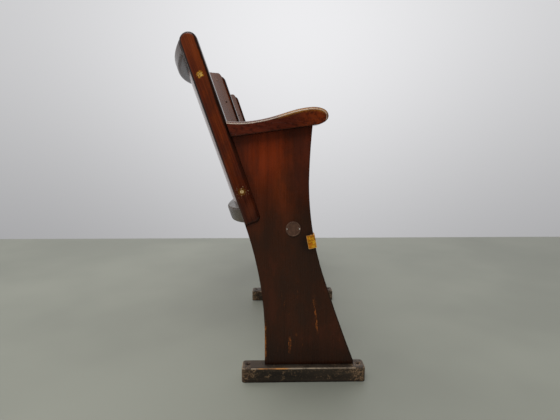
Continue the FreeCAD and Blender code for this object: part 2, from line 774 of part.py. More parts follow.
# ---- build ----------------------------------------------------------------------------------
def main():
    os.makedirs("parts", exist_ok=True)
    long_screws = back_screws()
    all_tenons = []
    for bay in BAYS.values():
        for span in (TOP_RAIL_SPAN, LOW_RAIL_SPAN):
            all_tenons += [on_rake(tenon) for tenon in rail_tenons(bay, span)]

    pegs, sleeves, washers, from_below, dowels = [], [], [], [], []
    for name, side in SIDES.items():
        side_pegs = []
        for face, into in panel_faces(side):
            washers.append(pivot_washer(face, into))
            for y, z in peg_places():
                side_pegs.append(stop_peg(face, into, y, z))
                sleeves.append(stop_sleeve(face, into, y, z))
        side_screws = foot_screws(side)
        side_dowels = arm_dowels(side)
        nails = cover_nails(side) if side else []
        panel = make_panel(side, side_pegs, side_screws + long_screws + side_dowels)
        if side < 0:
            save("aisle_marker", marker_clip(panel))
        save("upright_panel_" + name, panel.cut(nails))
        save("back_stile_" + name, make_stile(side, long_screws, all_tenons, side_dowels))
        save("foot_" + name, make_foot(side, side_screws))
        save("armrest_" + name, make_armrest(side, side_dowels))
        save("pivot_pin_" + name, pivot_pin(side))
        pegs += side_pegs
        from_below += side_screws
        dowels += side_dowels

    save("stop_pegs", pegs)
    save("stop_sleeves", sleeves)
    save("pivot_washers", washers)
    save("foot_screws", from_below)
    save("arm_dowels", dowels)
    save("pivot_nuts", [pivot_nut(-1), pivot_nut(1)])
    save("cover_disc_right", cover_disc(-1, cover_nails(-1)))
    save("cover_disc_left", cover_disc(1, cover_nails(1)))
    save("cover_nails", cover_nails(-1) + cover_nails(1))
    save("back_screws", long_screws)

    for name, bay in BAYS.items():
        places = ply_screw_places(bay)
        holes = dome_holes(places)
        save("back_panel_" + name, make_back_panel(bay, list(holes)))
        save("top_rail_" + name,
             make_rail(bay, TOP_RAIL_SPAN, TOP_RAIL_REAR, TOP_RAIL_SAG, TOP_RAIL_ROUND, holes))
        save("lower_rail_" + name,
             make_rail(bay, LOW_RAIL_SPAN, LOW_RAIL_REAR, LOW_RAIL_SAG, LOW_RAIL_ROUND, holes))
        save("back_battens_" + name, make_battens(bay, long_screws))
        save("back_panel_screws_" + name, [on_rake(screw) for screw in dome_screws(places)])
        make_seat(bay, name)


main()
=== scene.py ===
import math

import bpy
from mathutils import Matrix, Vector


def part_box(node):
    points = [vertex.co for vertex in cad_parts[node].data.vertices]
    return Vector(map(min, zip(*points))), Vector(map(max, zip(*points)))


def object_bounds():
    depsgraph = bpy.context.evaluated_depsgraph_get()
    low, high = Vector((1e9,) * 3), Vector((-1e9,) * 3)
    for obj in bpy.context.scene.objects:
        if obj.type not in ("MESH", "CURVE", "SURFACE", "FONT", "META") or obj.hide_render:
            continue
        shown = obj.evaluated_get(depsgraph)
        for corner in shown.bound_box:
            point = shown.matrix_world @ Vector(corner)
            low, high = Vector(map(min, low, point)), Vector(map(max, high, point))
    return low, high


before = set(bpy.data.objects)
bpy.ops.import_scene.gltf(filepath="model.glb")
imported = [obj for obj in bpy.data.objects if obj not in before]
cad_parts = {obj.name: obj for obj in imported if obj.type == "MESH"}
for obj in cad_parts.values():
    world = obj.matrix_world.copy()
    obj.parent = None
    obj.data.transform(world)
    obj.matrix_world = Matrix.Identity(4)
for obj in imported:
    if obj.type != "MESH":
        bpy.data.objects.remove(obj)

# A two-seat tip-up bench in dark stained wood: materials, small details, light and camera around
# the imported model.  Row frame in metres: +X along the bench, +Y to the rear, +Z up.

SCENE = bpy.context.scene
CAD_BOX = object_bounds()


def corners(node):
    low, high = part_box(node)
    return Vector(low), Vector(high)


def middle(node):
    low, high = corners(node)
    return (low + high) / 2


# ---- places, worked out from the frame ------------------------------------------------------
NEAR_FACE = corners("foot_right")[0].x      # outer side of the right-hand foot
PANEL_FACE = corners("upright_panel_right")[0].x
STILE_FACE = corners("back_stile_right")[0].x
MARKER = middle("aisle_marker")
SCREW_HEAD = 0.0055                         # radius of the screw heads on the stiles
UPPER_SCREW = corners("back_screws")[1].yz - Vector((SCREW_HEAD, SCREW_HEAD))
LOWER_SCREW = corners("back_screws")[0].yz + Vector((SCREW_HEAD, SCREW_HEAD))

# The two screws stand on the stile's middle line, so they give its lean and its place.
LEAN = math.atan2(UPPER_SCREW.x - LOWER_SCREW.x, UPPER_SCREW.y - LOWER_SCREW.y)
STILE_LINE = UPPER_SCREW.x * math.cos(LEAN) - UPPER_SCREW.y * math.sin(LEAN)
STILE_HALF = 0.0207                         # half of its width, across the lean
STILE_FRONT = STILE_LINE - STILE_HALF
STILE_REAR = STILE_LINE + STILE_HALF


# ---- node graphs ----------------------------------------------------------------------------
def srgb(red, green, blue):
    """Linear colour from 0 to 255 display values."""
    def linear(v):
        v /= 255
        return v / 12.92 if v <= 0.04045 else ((v + 0.055) / 1.055) ** 2.4
    return (linear(red), linear(green), linear(blue), 1.0)


class Graph:
    """Builds one node tree; each method adds a node and returns its main output."""

    def __init__(self, tree):
        self.tree = tree
        self.nodes = tree.nodes
        self.nodes.clear()

    def put(self, target, value):
        if isinstance(value, bpy.types.NodeSocket):
            self.tree.links.new(value, target)
        else:
            target.default_value = value

    def add(self, kind, **settings):
        node = self.nodes.new(kind)
        for key, value in settings.items():
            setattr(node, key, value)
        return node

    def math(self, operation, a, b=0.0, c=0.0, clamp=False):
        node = self.add("ShaderNodeMath", operation=operation, use_clamp=clamp)
        for target, given in zip(node.inputs, (a, b, c)):
            self.put(target, given)
        return node.outputs[0]

    def step(self, value, low, high, bottom=0.0, top=1.0):
        """Smooth change from bottom to top as value goes from low to high."""
        node = self.add("ShaderNodeMapRange", interpolation_type="SMOOTHSTEP")
        for target, given in zip(node.inputs, (value, low, high, bottom, top)):
            self.put(target, given)
        return node.outputs[0]

    def mix(self, share, a, b):
        node = self.add("ShaderNodeMix", data_type="RGBA")
        self.put(node.inputs["Factor"], share)
        self.put(node.inputs[6], a)
        self.put(node.inputs[7], b)
        return node.outputs[2]

    def blend(self, share, a, b):
        """A number between a and b."""
        node = self.add("ShaderNodeMix", data_type="FLOAT")
        self.put(node.inputs["Factor"], share)
        self.put(node.inputs[2], a)
        self.put(node.inputs[3], b)
        return node.outputs[0]

    def dim(self, colour, factor):
        """Colour multiplied by a grey factor."""
        node = self.add("ShaderNodeVectorMath", operation="SCALE")
        self.put(node.inputs[0], colour)
        self.put(node.inputs["Scale"], factor)
        return node.outputs[0]

    def place(self):
        """Row frame coordinates, which move with the body."""
        return self.add("ShaderNodeTexCoord").outputs["Object"]

    def turned(self, vector, angles):
        node = self.add("ShaderNodeMapping")
        self.put(node.inputs["Vector"], vector)
        node.inputs["Rotation"].default_value = angles
        return node.outputs[0]

    def stretched(self, vector, scale):
        node = self.add("ShaderNodeVectorMath", operation="MULTIPLY")
        self.put(node.inputs[0], vector)
        node.inputs[1].default_value = scale
        return node.outputs[0]

    def noise(self, vector, scale, detail=3.0, rough=0.55, distortion=0.0):
        """scale is one number, or three where the pattern is drawn out along an axis."""
        if not isinstance(scale, (int, float)):
            vector, scale = self.stretched(vector, scale), 1.0
        node = self.add("ShaderNodeTexNoise")
        self.put(node.inputs["Vector"], vector)
        node.inputs["Scale"].default_value = scale
        node.inputs["Detail"].default_value = detail
        node.inputs["Roughness"].default_value = rough
        node.inputs["Distortion"].default_value = distortion
        return node.outputs["Fac"]

    def split(self, vector):
        """The vector's X, Y and Z."""
        node = self.add("ShaderNodeSeparateXYZ")
        self.put(node.inputs[0], vector)
        return tuple(node.outputs)

    def axis(self, vector, name):
        return self.split(vector)["XYZ".index(name)]

    def near(self, vector, centre, radius, soft):
        """1 inside radius of a point, falling to 0 over soft."""
        node = self.add("ShaderNodeVectorMath", operation="DISTANCE")
        self.put(node.inputs[0], vector)
        node.inputs[1].default_value = centre
        return self.step(node.outputs["Value"], radius, radius + soft, 1.0, 0.0)

    def spot(self, vector, centre, radius, soft, tall=1.0):
        """The same seen from the bench's end: centre is Y and Z, and tall draws the spot out along Z."""
        y, z = centre
        flat = self.stretched(vector, (0.0, 1.0, 1 / tall))
        return self.near(flat, (0.0, y, z / tall), radius, soft)

    def edge(self, radius):
        """About 0 on flat faces and more towards convex edges."""
        node = self.add("ShaderNodeVectorMath", operation="DOT_PRODUCT")
        self.put(node.inputs[0], self.soft_edges(radius))
        self.put(node.inputs[1], self.normal())
        return self.math("SUBTRACT", 1.0, node.outputs["Value"], clamp=True)

    def normal(self):
        return self.add("ShaderNodeNewGeometry").outputs["Normal"]

    def soft_edges(self, radius):
        """Shading normal with sharp corners rounded off."""
        bevel = self.add("ShaderNodeBevel", samples=4)
        bevel.inputs["Radius"].default_value = radius
        return bevel.outputs[0]

    def facing(self):
        """How far the surface faces along X (unsigned), and up (signed)."""
        x, _, z = self.split(self.normal())
        return self.math("ABSOLUTE", x), z

    def outer(self, vector, face):
        """1 on the bench's right-hand face that stands at X = face."""
        return self.step(self.axis(vector, "X"), face + 0.002, face + 0.004, 1.0, 0.0)

    def band(self, value, low, high, soft):
        """1 while value lies between low and high."""
        rising = self.step(value, low - soft, low)
        return self.math("MULTIPLY", rising, self.step(value, high, high + soft, 1.0, 0.0))

    def product(self, first, *others):
        for factor in others:
            first = self.math("MULTIPLY", first, factor)
        return first

    def most(self, first, *others):
        for factor in others:
            first = self.math("MAXIMUM", first, factor)
        return first

    def less(self, share, mask):
        """1 where the mask is 0, and lower by share where it is 1."""
        return self.math("MULTIPLY_ADD", mask, -share, 1.0)

    def hollow(self, distance):
        """1 in the open and less in corners and gaps."""
        node = self.add("ShaderNodeAmbientOcclusion", samples=4)
        node.inputs["Distance"].default_value = distance
        return node.outputs["AO"]

    def bump(self, height, depth, strength=1.0, normal=None):
        node = self.add("ShaderNodeBump")
        node.inputs["Strength"].default_value = strength
        node.inputs["Distance"].default_value = depth
        self.put(node.inputs["Height"], height)
        if normal is not None:
            self.put(node.inputs["Normal"], normal)
        return node.outputs[0]

    def surface(self, colour, roughness, normal=None, **uniform):
        shader = self.add("ShaderNodeBsdfPrincipled")
        self.put(shader.inputs["Base Color"], colour)
        self.put(shader.inputs["Roughness"], roughness)
        if normal is not None:
            self.put(shader.inputs["Normal"], normal)
        for name, value in uniform.items():
            shader.inputs[name.replace("_", " ")].default_value = value
        out = self.add("ShaderNodeOutputMaterial")
        self.tree.links.new(shader.outputs[0], out.inputs[0])


def new_material(name):
    material = bpy.data.materials.new(name)
    material.use_nodes = True
    return material, Graph(material.node_tree)


# ---- wood -----------------------------------------------------------------------------------
# Turns that bring each part's grain upright, to draw it out along Z.
UPRIGHT = (0.0, 0.0, 0.0)
LEANING = (LEAN, 0.0, 0.0)
ALONG_X = (0.0, math.radians(90), 0.0)
ALONG_Y = (math.radians(90), 0.0, 0.0)
ARM_LINE = (math.radians(82), 0.0, 0.0)
FOLDED = (math.radians(8), 0.0, 0.0)        # folded, the seats lean back this far


class Wood:
    """Grain, pores, stain clouds, worn edges and painted shade in hollows, as sockets that a finish puts
    together.
    """

    def __init__(self, graph, turn, figure=34.0, fibre=360.0):
        self.graph = graph
        self.place = graph.place()
        self.grain = grain = graph.turned(self.place, turn)
        self.clouds = graph.noise(grain, (7.0, 7.0, 2.4), 3.0)
        self.figure = graph.noise(grain, (figure, figure, figure * 0.05), 4.0, 0.6, 0.7)
        self.fibre = graph.noise(grain, (fibre, fibre, fibre * 0.022), 3.0, 0.65)
        pores = graph.noise(grain, (fibre * 2.3, fibre * 2.3, fibre * 0.075), 2.0, 0.5)
        self.pores = graph.step(pores, 0.60, 0.70)
        self.breakup = graph.noise(self.place, 85.0, 5.0, 0.7)
        self.fine = graph.noise(self.place, 260.0, 4.0, 0.7)
        self.blotch = graph.noise(self.place, 19.0, 3.0, 0.6)

    def stain(self, dark, mid, light, open_grain=1.0):
        """Stained wood colour, streaked along the grain."""
        g = self.graph
        streaks = g.mix(g.step(self.figure, 0.32, 0.66), dark, mid)
        warmed = g.mix(g.step(self.clouds, 0.40, 0.68), streaks, light)
        low, high = 1 - 0.28 * open_grain, 1 + 0.22 * open_grain
        fibred = g.dim(warmed, g.step(self.fibre, 0.25, 0.75, low, high))
        return g.dim(fibred, g.less(0.35 * open_grain, self.pores))

    def worn(self, colour, bare, radius, low, span):
        """Lacquer rubbed through to lighter wood along the edges."""
        g = self.graph
        patchy = g.product(g.step(self.breakup, 0.50, 0.62), g.step(self.blotch, 0.36, 0.60))
        return g.mix(g.product(g.step(g.edge(radius), low, low + span), patchy), colour, bare)

    def hollow_shade(self, colour, distance=0.02, dark=0.35):
        # Painted shade: colour darkened in corners, gaps and under parts, read from ambient occlusion.
        g = self.graph
        return g.dim(colour, g.step(g.hollow(distance), 0.35, 0.95, dark, 1.0))

    def relief(self, depth=0.00018, corner=0.0012):
        """Open grain under lacquer, over slow waves that ripple what it reflects."""
        g = self.graph
        ripple = g.noise(self.grain, (26.0, 26.0, 5.0), 2.0)
        waves = g.bump(ripple, 0.0010, 0.30, g.soft_edges(corner))
        height = g.math("SUBTRACT", self.fibre, g.math("MULTIPLY", self.pores, 0.8))
        return g.bump(height, depth, 0.5, waves)

    def gloss(self, smooth, rough):
        g = self.graph
        return g.step(g.blend(0.4, self.blotch, self.fibre), 0.35, 0.65, smooth, rough)

    def lacquered(self, colour, smooth, rough, coat):
        """Stain under old lacquer, which mirrors little face on and much at a glance."""
        self.graph.surface(
            colour, self.gloss(smooth, rough), self.relief(),
            Specular_IOR_Level=0.22, Coat_Weight=coat, Coat_Roughness=0.12, Coat_IOR=1.4)


ORANGE = srgb(168, 88, 34)
# Near-black brown painted as shade on rounded edges and undersides.
PAINTED_SHADE = srgb(30, 19, 13)


def screw_wear(g, wood, colour):
    """Gold rubbed into the wood round the upper screw; a dark ring and pale specks round the lower."""
    outer = g.outer(wood.place, STILE_FACE)
    lobes = g.step(g.noise(wood.place, 190.0, 2.0, 0.6), 0.46, 0.54)
    upper = g.spot(wood.place, UPPER_SCREW, SCREW_HEAD + 0.0007, 0.0040)
    lower = g.spot(wood.place, LOWER_SCREW, SCREW_HEAD + 0.0023, 0.0028)
    halo = g.spot(wood.place, LOWER_SCREW, SCREW_HEAD + 0.0045, 0.012)
    colour = g.mix(g.product(outer, upper, lobes, 0.95), colour, srgb(232, 164, 48))
    colour = g.mix(g.product(outer, lower, 0.9), colour, srgb(112, 66, 0))
    specks = g.product(outer, halo, g.step(wood.fine, 0.60, 0.64))
    return g.mix(specks, colour, srgb(214, 176, 136))


def stile_wood():
    """Orange-brown face between rounded edges painted nearly black as shade, and a painted highlight low
    on its front.
    """
    material, g = new_material("stile_wood")
    wood = Wood(g, LEANING, 48.0)
    colour = wood.stain(srgb(94, 33, 9), srgb(122, 50, 13), srgb(138, 60, 16))
    height = g.axis(wood.place, "Z")
    colour = g.dim(colour, g.step(height, 0.43, 0.56, 0.42, 1.12))
    dull = g.step(g.noise(wood.place, (24.0, 24.0, 15.0), 4.0, 0.65), 0.46, 0.64)
    colour = g.mix(g.product(dull, g.step(height, 0.60, 0.78, 0.55, 0.25)), colour, srgb(66, 30, 20))
    # Painted shade: the rounded front and rear edges, and the faces turned away from X, darkened nearly
    # black, less so lower down.
    across = g.axis(g.turned(wood.place, LEANING), "Y")
    uneven = g.math("MULTIPLY_ADD", g.math("SUBTRACT", wood.breakup, 0.5), 0.004, across)
    thinner = g.math("ADD", uneven, g.step(height, 0.68, 0.80, 0.0, 0.0022))
    front = g.step(thinner, STILE_FRONT + 0.0064, STILE_FRONT + 0.0092, 1.0, 0.0)
    rear = g.step(uneven, STILE_REAR - 0.0056, STILE_REAR - 0.0030)
    rounded = g.step(g.facing()[0], 0.90, 0.995, 1.0, 0.0)
    shaded_border = g.product(g.most(front, rear, rounded), g.step(height, 0.44, 0.66, 0.20, 0.92))
    colour = g.mix(shaded_border, colour, PAINTED_SHADE)
    # Painted highlight: a lighter orange patch low on the stile's front.
    painted_glow = g.spot(wood.place, (0.131, 0.445), 0.004, 0.012, tall=2.0)
    colour = g.mix(g.product(painted_glow, 0.3), colour, srgb(140, 64, 30))
    # Painted shade in corners and gaps, then the wear round the screws.
    colour = screw_wear(g, wood, wood.hollow_shade(colour, 0.010, 0.6))
    wood.lacquered(wood.worn(colour, ORANGE, 0.003, 0.05, 0.19), 0.18, 0.32, 0.3)
    return material


def arm_wood():
    """Hand-worn: golden patches along its upper edge and nose, and pale lines that are partly worn wood
    and partly painted highlight; a painted sheen on its top rounding and painted shade below.
    """
    material, g = new_material("arm_wood")
    wood = Wood(g, ARM_LINE, 52.0, 420.0)
    colour = wood.stain(srgb(68, 26, 16), srgb(95, 38, 21), srgb(118, 46, 23))
    along = g.axis(wood.place, "Y")
    forward = g.step(along, -0.03, 0.05, 1.0, 0.0)
    colour = g.mix(g.product(forward, g.step(wood.breakup, 0.36, 0.60), 0.7), colour, srgb(154, 66, 26))
    smudge = g.noise(wood.place, (60.0, 60.0, 95.0), 4.0, 0.65)
    colour = g.dim(colour, g.step(smudge, 0.36, 0.52, 0.50, 1.0))
    sideways, up = g.facing()
    upper = g.step(up, 0.02, 0.20)
    # Painted sheen: the top rounding, where the face turns from sideways to up, is greyed.
    sheen_round_over = g.step(sideways, 0.60, 0.90, 1.0, 0.0)
    colour = g.mix(g.product(sheen_round_over, upper, 0.75), colour, srgb(112, 80, 58))
    crest = g.step(g.axis(g.soft_edges(0.010), "Z"), 0.05, 0.14)
    patchy = g.product(g.step(wood.fine, 0.36, 0.50), g.step(wood.blotch, 0.30, 0.46))
    near_crest = g.band(along, -0.045, 0.045, 0.03)
    side_face = g.step(sideways, 0.55, 0.85)
    colour = g.mix(g.product(crest, patchy, near_crest, side_face, 0.9), colour, srgb(214, 152, 62))
    handled = g.product(g.step(up, 0.55, 0.9), g.band(along, -0.05, 0.05, 0.05), patchy, 0.5)
    colour = g.mix(handled, colour, srgb(140, 84, 46))
    # Pale line where the side meets the top rounding: partly worn wood, partly a painted highlight.
    line = g.product(g.band(sideways, 0.90, 0.985, 0.01), g.step(up, -0.25, -0.05))
    line = g.product(line, g.step(wood.breakup, 0.34, 0.44), 0.85)
    colour = g.mix(line, colour, srgb(222, 200, 178))
    # Painted shade: the underside, and below it the lower edge of the side face, darkened.
    under = g.product(g.step(up, -0.7, -0.2, 1.0, 0.0), g.step(sideways, 0.80, 0.99, 0.9, 0.0))
    colour = g.mix(under, colour, PAINTED_SHADE)
    shaded_hem = g.product(g.step(g.axis(g.soft_edges(0.006), "Z"), -0.40, -0.10, 1.0, 0.0), side_face)
    colour = g.mix(g.product(shaded_hem, g.step(wood.breakup, 0.30, 0.50, 0.4, 0.85)), colour, srgb(34, 30, 22))
    # Painted shade in corners and gaps.
    wood.lacquered(wood.hollow_shade(colour, 0.010, 0.25), 0.16, 0.32, 0.45)
    return material


def panel_wood():
    """Red-brown above and dull dark brown below, scraped near the floor."""
    material, g = new_material("panel_wood")
    wood = Wood(g, UPRIGHT, 62.0, 420.0)
    _, along, height = g.split(wood.place)
    red = wood.stain(srgb(108, 42, 17), srgb(124, 50, 21), srgb(150, 64, 25), 0.55)
    brown = wood.stain(srgb(58, 28, 11), srgb(64, 31, 13), srgb(71, 35, 15), 0.35)
    ragged = g.math("MULTIPLY_ADD", g.math("SUBTRACT", wood.clouds, 0.5), 0.22, height)
    rearward = g.math("MULTIPLY_ADD", g.math("SUBTRACT", along, 0.06), 0.55, ragged)
    colour = g.mix(g.step(rearward, 0.38, 0.62), brown, red)
    mottle = g.noise(wood.place, (22.0, 22.0, 11.0), 4.0, 0.6)
    colour = g.mix(g.step(mottle, 0.44, 0.64, 0.0, 0.42), colour, srgb(46, 30, 20))
    colour = g.mix(g.step(mottle, 0.32, 0.45, 0.28, 0.0), colour, srgb(96, 42, 20))
    # Painted pool of light: a brighter orange glow high on the outer face.
    painted_glow = g.spot(wood.place, (0.098, 0.5857), 0.015, 0.055, tall=1 / 0.7)
    painted_glow = g.product(painted_glow, g.step(wood.figure, 0.30, 0.60, 0.15, 0.55))
    colour = g.mix(painted_glow, colour, srgb(164, 60, 18))
    dull = g.product(g.step(along, 0.0, 0.05, 0.4, 0.0), g.step(height, 0.40, 0.55))
    colour = g.mix(dull, colour, srgb(88, 42, 32))
    colour = g.dim(colour, g.step(height, 0.05, 0.12, 0.72, 1.0))
    colour = g.mix(g.product(scrapes(g, wood), 0.85), colour, srgb(190, 106, 42))
    stained = g.near(wood.place, MARKER, 0.014, 0.026)
    colour = g.dim(colour, g.less(0.55, stained))
    across = g.axis(g.turned(wood.place, LEANING), "Y")
    shadow = g.product(g.band(across, STILE_FRONT - 0.010, 0.02, 0.004), g.step(height, 0.42, 0.48))
    colour = g.dim(colour, g.less(0.15, shadow))
    # Painted shade in corners and gaps.
    colour = wood.hollow_shade(colour, 0.010, 0.70)
    corner = g.edge(0.003)
    # Painted shade: a thin near-black line along the panel's rounded edges.
    colour = g.mix(g.product(g.step(corner, 0.01, 0.08), 0.6), colour, PAINTED_SHADE)
    low_front = g.product(g.step(height, 0.20, 0.36, 1.0, 0.0), g.step(along, -0.02, 0.02, 1.0, 0.0))
    toe = g.product(g.step(g.edge(0.009), 0.01, 0.14), low_front)
    toe = g.product(toe, g.step(wood.breakup, 0.30, 0.55, 0.5, 0.9))
    colour = g.mix(toe, colour, srgb(26, 22, 16))
    low_rear = g.product(g.band(height, 0.075, 0.135, 0.03), g.step(along, 0.0945, 0.0957))
    arris = g.most(g.step(corner, 0.004, 0.04), g.step(g.facing()[0], 0.5, 0.9))
    rubbed = g.product(low_rear, arris, g.step(wood.fine, 0.42, 0.54), 0.8)
    colour = g.mix(rubbed, colour, srgb(196, 116, 46))
    wood.lacquered(colour, 0.22, 0.40, 0.2)
    return material


def scrapes(g, wood):
    """Two broken upright scrapes low on the outer face, and a few faint ones around them."""
    _, along, height = g.split(wood.place)
    across = g.math("ADD", along, g.math("MULTIPLY_ADD", wood.breakup, 0.010, -0.005))
    slanted = g.math("MULTIPLY_ADD", g.math("SUBTRACT", height, 0.18), -0.10, across)
    front = g.product(g.band(slanted, -0.0318, -0.0274, 0.0014), g.band(height, 0.150, 0.200, 0.035))
    rear = g.product(g.band(across, 0.0326, 0.0374, 0.0014), g.band(height, 0.080, 0.104, 0.016))
    strands = g.noise(wood.place, (330.0, 330.0, 60.0), 2.0, 0.6)
    broken = g.noise(wood.place, 300.0, 3.0, 0.7)
    dashes = g.product(g.step(strands, 0.47, 0.56), g.step(broken, 0.42, 0.54))
    lines = g.noise(wood.place, (170.0, 170.0, 16.0), 2.0, 0.5)
    faint = g.product(g.step(lines, 0.62, 0.70), g.band(height, 0.10, 0.25, 0.06))
    faint = g.product(faint, g.step(wood.breakup, 0.48, 0.58), 0.30)
    return g.product(g.outer(wood.place, PANEL_FACE), dashes, g.most(front, rear, faint))


def plain_wood(name, turn, dark, mid, light, smooth, rough, wear=0.04, coat=0.35):
    material, g = new_material(name)
    wood = Wood(g, turn, 48.0)
    # Painted shade in corners and gaps.
    colour = wood.hollow_shade(wood.stain(dark, mid, light))
    colour = wood.worn(colour, ORANGE, 0.0025, wear, 0.16)
    wood.lacquered(colour, smooth, rough, coat)
    return material


def bare_wood(name, turn, dark, mid, light):
    material, g = new_material(name)
    wood = Wood(g, turn, 48.0)
    # Painted shade in corners and gaps.
    g.surface(wood.hollow_shade(wood.stain(dark, mid, light)), wood.gloss(0.5, 0.7), wood.relief(0.0003))
    return material


def foot_wood():
    """Blackened wood, scuffed bare along its top edges and at its ends."""
    material, g = new_material("foot_wood")
    wood = Wood(g, ALONG_Y, 46.0, 300.0)
    colour = wood.stain(srgb(34, 28, 22), srgb(58, 50, 40), srgb(88, 72, 58))
    _, along, height = g.split(wood.place)
    out = g.math("ABSOLUTE", along)
    ends = g.step(out, 0.085, 0.150)
    clumps = g.noise(wood.place, 42.0, 4.0, 0.7)
    patches = g.step(clumps, g.blend(ends, 0.54, 0.36), g.blend(ends, 0.70, 0.54))
    grit = g.noise(wood.place, 300.0, 4.0, 0.75)
    sparse = g.product(g.step(grit, 0.58, 0.66), g.step(height, 0.020, 0.036, 0.25, 0.7))
    chips = g.most(g.product(patches, g.step(grit, 0.48, 0.58)), sparse)
    colour = g.mix(chips, colour, srgb(172, 138, 104))
    rust = g.step(along, 0.07, 0.15, 0.0, 0.5)
    colour = g.mix(g.product(rust, g.step(wood.blotch, 0.40, 0.60)), colour, srgb(70, 38, 24))
    up = g.facing()[1]
    top = g.step(up, 0.7, 0.95)
    dusty = g.product(top, g.step(wood.blotch, 0.38, 0.62, 0.10, 0.50))
    colour = g.mix(dusty, g.dim(colour, g.less(0.3, top)), srgb(84, 74, 62))
    no_hole = g.less(1.0, g.band(out, 0.134, 0.149, 0.001))
    crease = g.product(g.band(up, 0.35, 0.80, 0.06), g.step(wood.breakup, 0.34, 0.50), no_hole)
    rubbed = g.product(crease, g.step(wood.blotch, 0.34, 0.54, 0.45, 1.0))
    orange = g.band(along, 0.05, 0.105, 0.02)
    colour = g.mix(rubbed, colour, g.mix(orange, srgb(176, 156, 130), srgb(214, 146, 74)))
    # Painted shade in corners and gaps, and painted shade darkening the lowest 4 mm where the foot meets
    # the floor.
    colour = g.dim(wood.hollow_shade(colour, 0.012), g.step(height, 0.0, 0.004, 0.5, 1.0))
    g.surface(colour, wood.gloss(0.40, 0.62), wood.relief(0.0005), Specular_IOR_Level=0.3)
    return material


# ---- metal, rubber and paint ----------------------------------------------------------------
def metal(name, base, tarnish, smooth, rough, covered=0.5, metallic=1.0):
    """Metal that shows where it is rubbed, under tarnish or old paint elsewhere, with painted shade in
    its hollows.
    """
    material, g = new_material(name)
    place = g.place()
    patches = g.noise(place, 240.0, 4.0, 0.65)
    film = g.noise(place, 60.0, 3.0, 0.6)
    share = g.step(g.blend(0.4, patches, film), covered - 0.06, covered + 0.08)
    colour = g.mix(share, base, tarnish)
    # Painted shade: darker in hollows and gaps.
    colour = g.dim(colour, g.step(g.hollow(0.004), 0.3, 0.9, 0.45, 1.0))
    lines = g.noise(place, (900.0, 900.0, 70.0), 2.0)
    normal = g.bump(g.math("ADD", patches, g.math("MULTIPLY", lines, 0.3)), 0.0003, 0.5)
    g.surface(colour, g.blend(share, smooth, rough), normal, Metallic=metallic)
    return material


def rubbed_brass():
    """Screw heads bright where they are rubbed, ragged above; on the lower ones a bright ring is a
    painted highlight.
    """
    material, g = new_material("rubbed_brass")
    place = g.place()
    mottle = g.noise(place, 420.0, 4.0, 0.7)
    bright = g.step(g.noise(place, 250.0, 2.0, 0.6), 0.44, 0.52)
    between = (LOWER_SCREW.y + UPPER_SCREW.y) / 2
    low = g.step(g.axis(place, "Z"), between - 0.01, between + 0.01, 1.0, 0.0)
    # Painted highlight: a bright ring with a darker core on the lower screw heads.
    ring = g.spot(place, LOWER_SCREW, 0.0034, 0.0012)
    core = g.spot(place, LOWER_SCREW, 0.0006, 0.0008)
    painted_glint_ring = g.math("SUBTRACT", ring, g.product(core, 0.6), clamp=True)
    share = g.blend(low, bright, painted_glint_ring)
    gold = g.mix(low, srgb(255, 208, 106), srgb(255, 224, 162))
    colour = g.mix(share, srgb(140, 88, 14), gold)
    g.surface(colour, g.blend(share, 0.55, 0.30), g.bump(mottle, 0.0003, 0.4))
    return material


def cover_paint():
    """Flat brown disc, a little dusty, with its rim rubbed lighter."""
    material, g = new_material("cover_brown")
    place = g.place()
    mottle = g.noise(place, 130.0, 4.0, 0.65)
    streak = g.noise(place, (30.0, 30.0, 260.0), 2.0)
    colour = g.mix(g.step(mottle, 0.35, 0.68), srgb(88, 58, 42), srgb(112, 78, 58))
    colour = g.dim(colour, g.step(streak, 0.3, 0.7, 0.9, 1.08))
    rim = g.step(g.edge(0.0012), 0.02, 0.18)
    colour = g.mix(g.math("MULTIPLY", rim, 0.65), colour, srgb(168, 138, 118))
    g.surface(colour, g.step(mottle, 0.3, 0.7, 0.48, 0.68), g.bump(mottle, 0.0002, 0.4))
    return material


def marker_paint():
    """Yellow ochre paint, mottled orange, with cream edges."""
    material, g = new_material("marker_yellow")
    place = g.place()
    mottle = g.noise(place, 200.0, 4.0, 0.75, 0.1)
    broad = g.noise(place, 120.0, 3.0, 0.6)
    colour = g.mix(g.step(mottle, 0.42, 0.56), srgb(176, 98, 6), srgb(255, 192, 34))
    colour = g.mix(g.step(broad, 0.46, 0.62, 0.0, 0.75), colour, srgb(214, 112, 8))
    rim = g.product(g.step(g.edge(0.0025), 0.01, 0.12), g.step(mottle, 0.38, 0.50))
    colour = g.mix(g.product(rim, 0.7), colour, srgb(238, 214, 170))
    rough = g.step(mottle, 0.3, 0.7, 0.42, 0.6)
    g.surface(colour, rough, g.bump(mottle, 0.0004, 0.5), Specular_IOR_Level=0.3)
    return material


def rubber():
    material, g = new_material("rubber")
    place = g.place()
    bloom = g.noise(place, 120.0, 4.0, 0.6)
    colour = g.mix(g.step(bloom, 0.4, 0.7), srgb(30, 28, 26), srgb(62, 58, 54))
    g.surface(colour, g.step(bloom, 0.3, 0.7, 0.62, 0.85), g.bump(bloom, 0.0003, 0.4))
    return material


